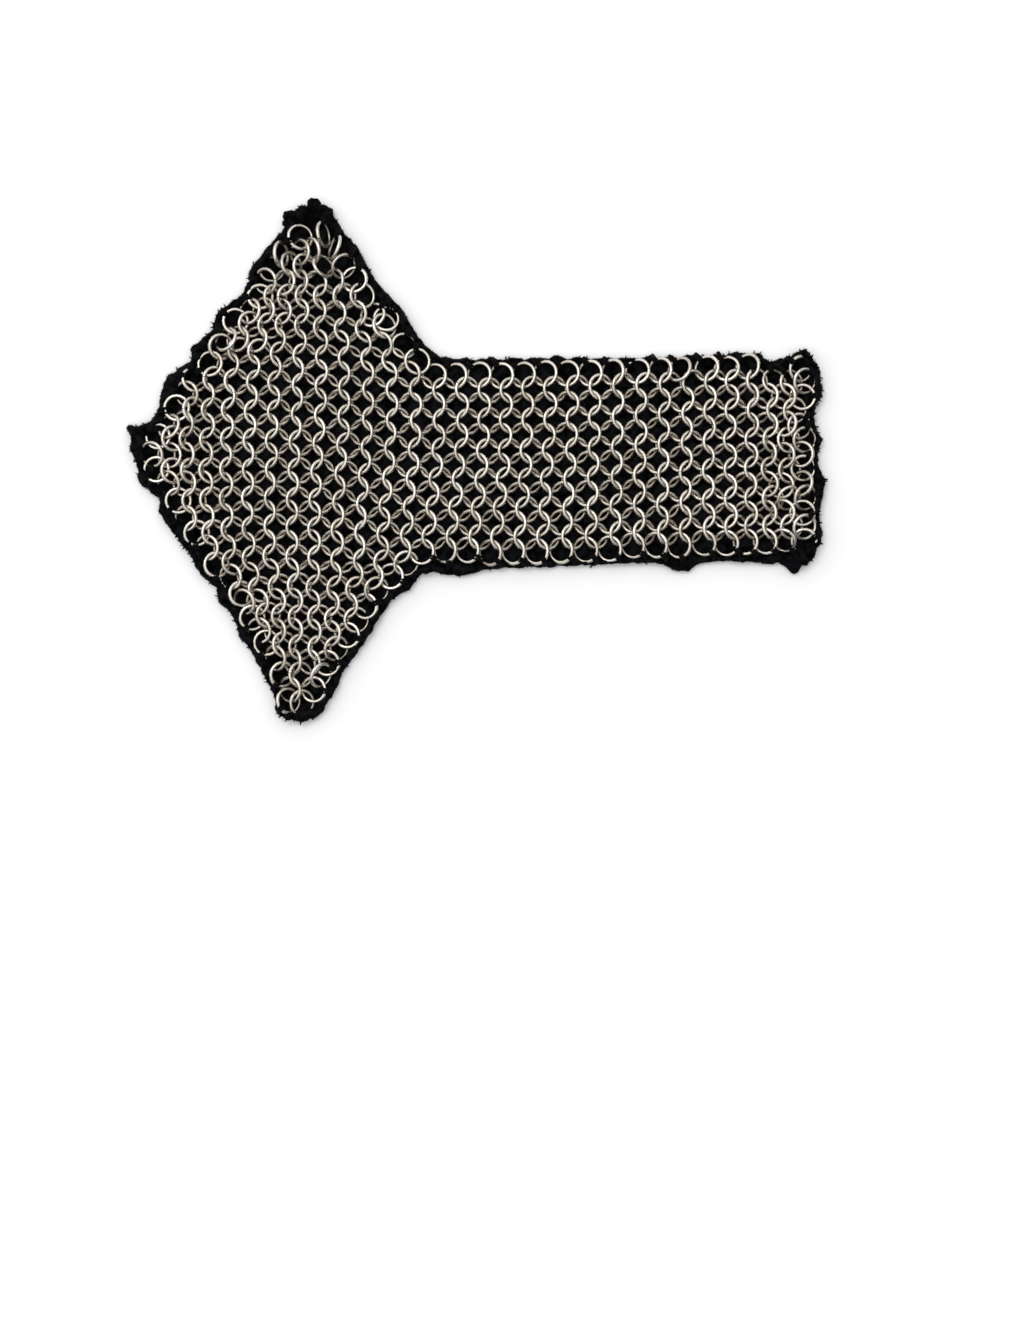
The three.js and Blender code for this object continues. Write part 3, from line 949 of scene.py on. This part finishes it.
fibre_tree = make_pile_tree()
for name, values in (
        ("border_pile", {
            "Where": "pile", "Seed": 5, "Tufts per square metre": 2.4e6, "Fibres in a tuft": 1,
            "Length": 0.95 * MM, "Radius": 0.14 * MM, "Shortest": 0.5, "Lean": 0.0, "Tilt": 0.9}),
        ("border_tufts", {
            "Where": "tuft", "Seed": 8, "Tufts per square metre": 1.5e5, "Fibres in a tuft": 6,
            "Length": 2.0 * MM, "Radius": 0.42 * MM, "Shortest": 0.35, "Lean": 0.8, "Tilt": 0.3})):
    piece = new_object(name, cloth_mesh.copy())
    make_real(piece, fibre_tree, {**values, "Material": black_cloth})
    for vertex in piece.data.vertices:
        vertex.co.z = max(0, vertex.co.z)
    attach(piece, "root")


# ---- the knots of the top corner ----
# The cloth left over at the top corner is gathered with thread into two small knots, one at the tip
# and a smaller one beside it.

corner_knots = [
    # where, and half the length, width and height
    ((-71.8 * MM, 111.5 * MM, 4.6 * MM), (2.1 * MM, 1.8 * MM, 2.3 * MM)),
    ((-69.6 * MM, 111.3 * MM, 4.2 * MM), (1.5 * MM, 1.5 * MM, 1.9 * MM)),
    ((-82.8 * MM, 105.6 * MM, 4.0 * MM), (1.7 * MM, 2.0 * MM, 2.1 * MM)),
    ((-83.4 * MM, 102.4 * MM, 3.6 * MM), (1.5 * MM, 1.5 * MM, 1.8 * MM)),
]
broad_fold, small_fold = 1.5 * MM, 0.6 * MM
shape = bmesh.new()
for place, half_size in corner_knots:
    knot = bmesh.ops.create_icosphere(shape, subdivisions=4, radius=1)["verts"]
    for vertex in knot:
        way_out = vertex.co.copy()
        vertex.co = Vector(place) + Vector(size * way for size, way in zip(half_size, way_out))
        fold = noise.noise(vertex.co / broad_fold) + 0.5 * noise.noise(vertex.co / small_fold)
        vertex.co += way_out * 0.7 * MM * fold
knots_mesh = bpy.data.meshes.new("corner_knots")
shape.to_mesh(knots_mesh)
shape.free()
knots_mesh.shade_smooth()
knots_mesh.materials.append(black_cloth)
knots = new_object("corner_knots", knots_mesh)
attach(knots, "root")


# ---- the whip stitches ----
# Black thread sews the cloth down round the mail: three turns of it at each edge ring go into the
# rolled border. They pass over the ring's outer wire, or under it where it stands far too high.

stitch_half_length = 2.5 * MM
stitch_beyond_wire = 0.9 * MM
thread_radius = 0.48 * MM
strand_gap = 0.8 * MM
stitch_room = 2.8 * MM
stitch_base = cloth_top - 0.3 * MM
usual_rise = 4.0 * MM
highest_stitched_wire = 7.5 * MM
usual_side = 0.65
thread_slack = 1.07
side_varies, tilt_varies, strand_varies = 0.18, 0.05, 0.12
stitch_points, stitch_turns, stitch_sizes = [], [], []
_, station_by_ring = outline_near(ring_middle[edge_rings, :2])
for ring, station in zip(edge_rings, station_by_ring):
    middle, normal = ring_middle[ring], ring_normal[ring]
    out = outline[station] - middle[:2]
    heading = math.atan2(out[1], out[0])
    angle = heading + usual_side + chance.normal(0, side_varies)
    way_out = np.array([math.cos(angle), math.sin(angle), 0])
    in_ring = way_out - (way_out @ normal) * normal
    wire_at = middle + ring_radius * in_ring / np.linalg.norm(in_ring)
    wire_height = min(wire_at[2], highest_stitched_wire)
    rise = thread_slack * (wire_height + wire_radius + thread_radius - stitch_base) / usual_rise
    crossing = wire_at[:2] + way_out[:2] * stitch_beyond_wire
    room, _ = outline_near([crossing])
    crossing = crossing - out / np.linalg.norm(out) * max(0, stitch_room - room[0])
    for strand in (-1, 0, 1):
        aside = np.array([-way_out[1], way_out[0]]) * strand * strand_gap
        stitch_points.append((*(crossing + aside), stitch_base))
        tilt = chance.normal(0, tilt_varies)
        stitch_turns.append((0, tilt, angle + chance.normal(0, strand_varies)))
        stitch_sizes.append((1, 1, rise))


thread_arc_points, thread_sides = 9, 5


def make_stitch_tree():
    """A node group that puts an arch of thread on every point, turned and sized as the point says."""
    tree, nodes, link, given = new_tree("whip_stitches", {
        "Material": ["Material"], "Float": ["Half length", "Rise", "Thread radius"]})
    arc = nodes.new("GeometryNodeCurveArc")
    arc.inputs["Resolution"].default_value = thread_arc_points
    arc.inputs["Radius"].default_value = 1
    arc.inputs["Sweep Angle"].default_value = math.pi
    spans = nodes.new("ShaderNodeCombineXYZ")
    link(given.outputs["Half length"], spans.inputs["X"])
    link(given.outputs["Rise"], spans.inputs["Y"])
    spans.inputs["Z"].default_value = 1
    stand = nodes.new("GeometryNodeTransform")
    stand.inputs["Rotation"].default_value = (math.pi / 2, 0, 0)
    link(arc.outputs["Curve"], stand.inputs["Geometry"])
    link(spans.outputs["Vector"], stand.inputs["Scale"])
    thread = tube_along(nodes, link, stand.outputs["Geometry"], thread_sides,
                        given.outputs["Thread radius"])
    turn = as_rotation(nodes, link, named_attribute(nodes, "turn", "FLOAT_VECTOR"))
    size = named_attribute(nodes, "size", "FLOAT_VECTOR")
    put_on_points(nodes, link, given, given.outputs["Geometry"], thread, turn, size)
    return tree


def thread_material():
    """Dull black sewing thread, with its twist as a fine bump."""
    material, nodes, links, shader = new_material("black_thread")
    twist = add_noise(nodes, links, nodes.new("ShaderNodeTexCoord"), 1800, 2)
    colours = add_ramp(nodes, links, twist,
                       (0.3, (0.0006, 0.0007, 0.0008)), (0.8, (0.0050, 0.0054, 0.0062)))
    links.new(colours, shader.inputs["Base Color"])
    shader.inputs["Roughness"].default_value = 0.8
    shader.inputs["Specular IOR Level"].default_value = 0.08
    add_bump(nodes, links, shader, twist, 0.7, 0.3 * MM)
    return material


stitches = new_object("stitches", points_mesh("stitches", stitch_points, {
    "turn": stitch_turns, "size": stitch_sizes}))
make_real(stitches, make_stitch_tree(), {
    "Half length": stitch_half_length, "Rise": usual_rise, "Thread radius": thread_radius,
    "Material": thread_material()})
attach(stitches, "root")
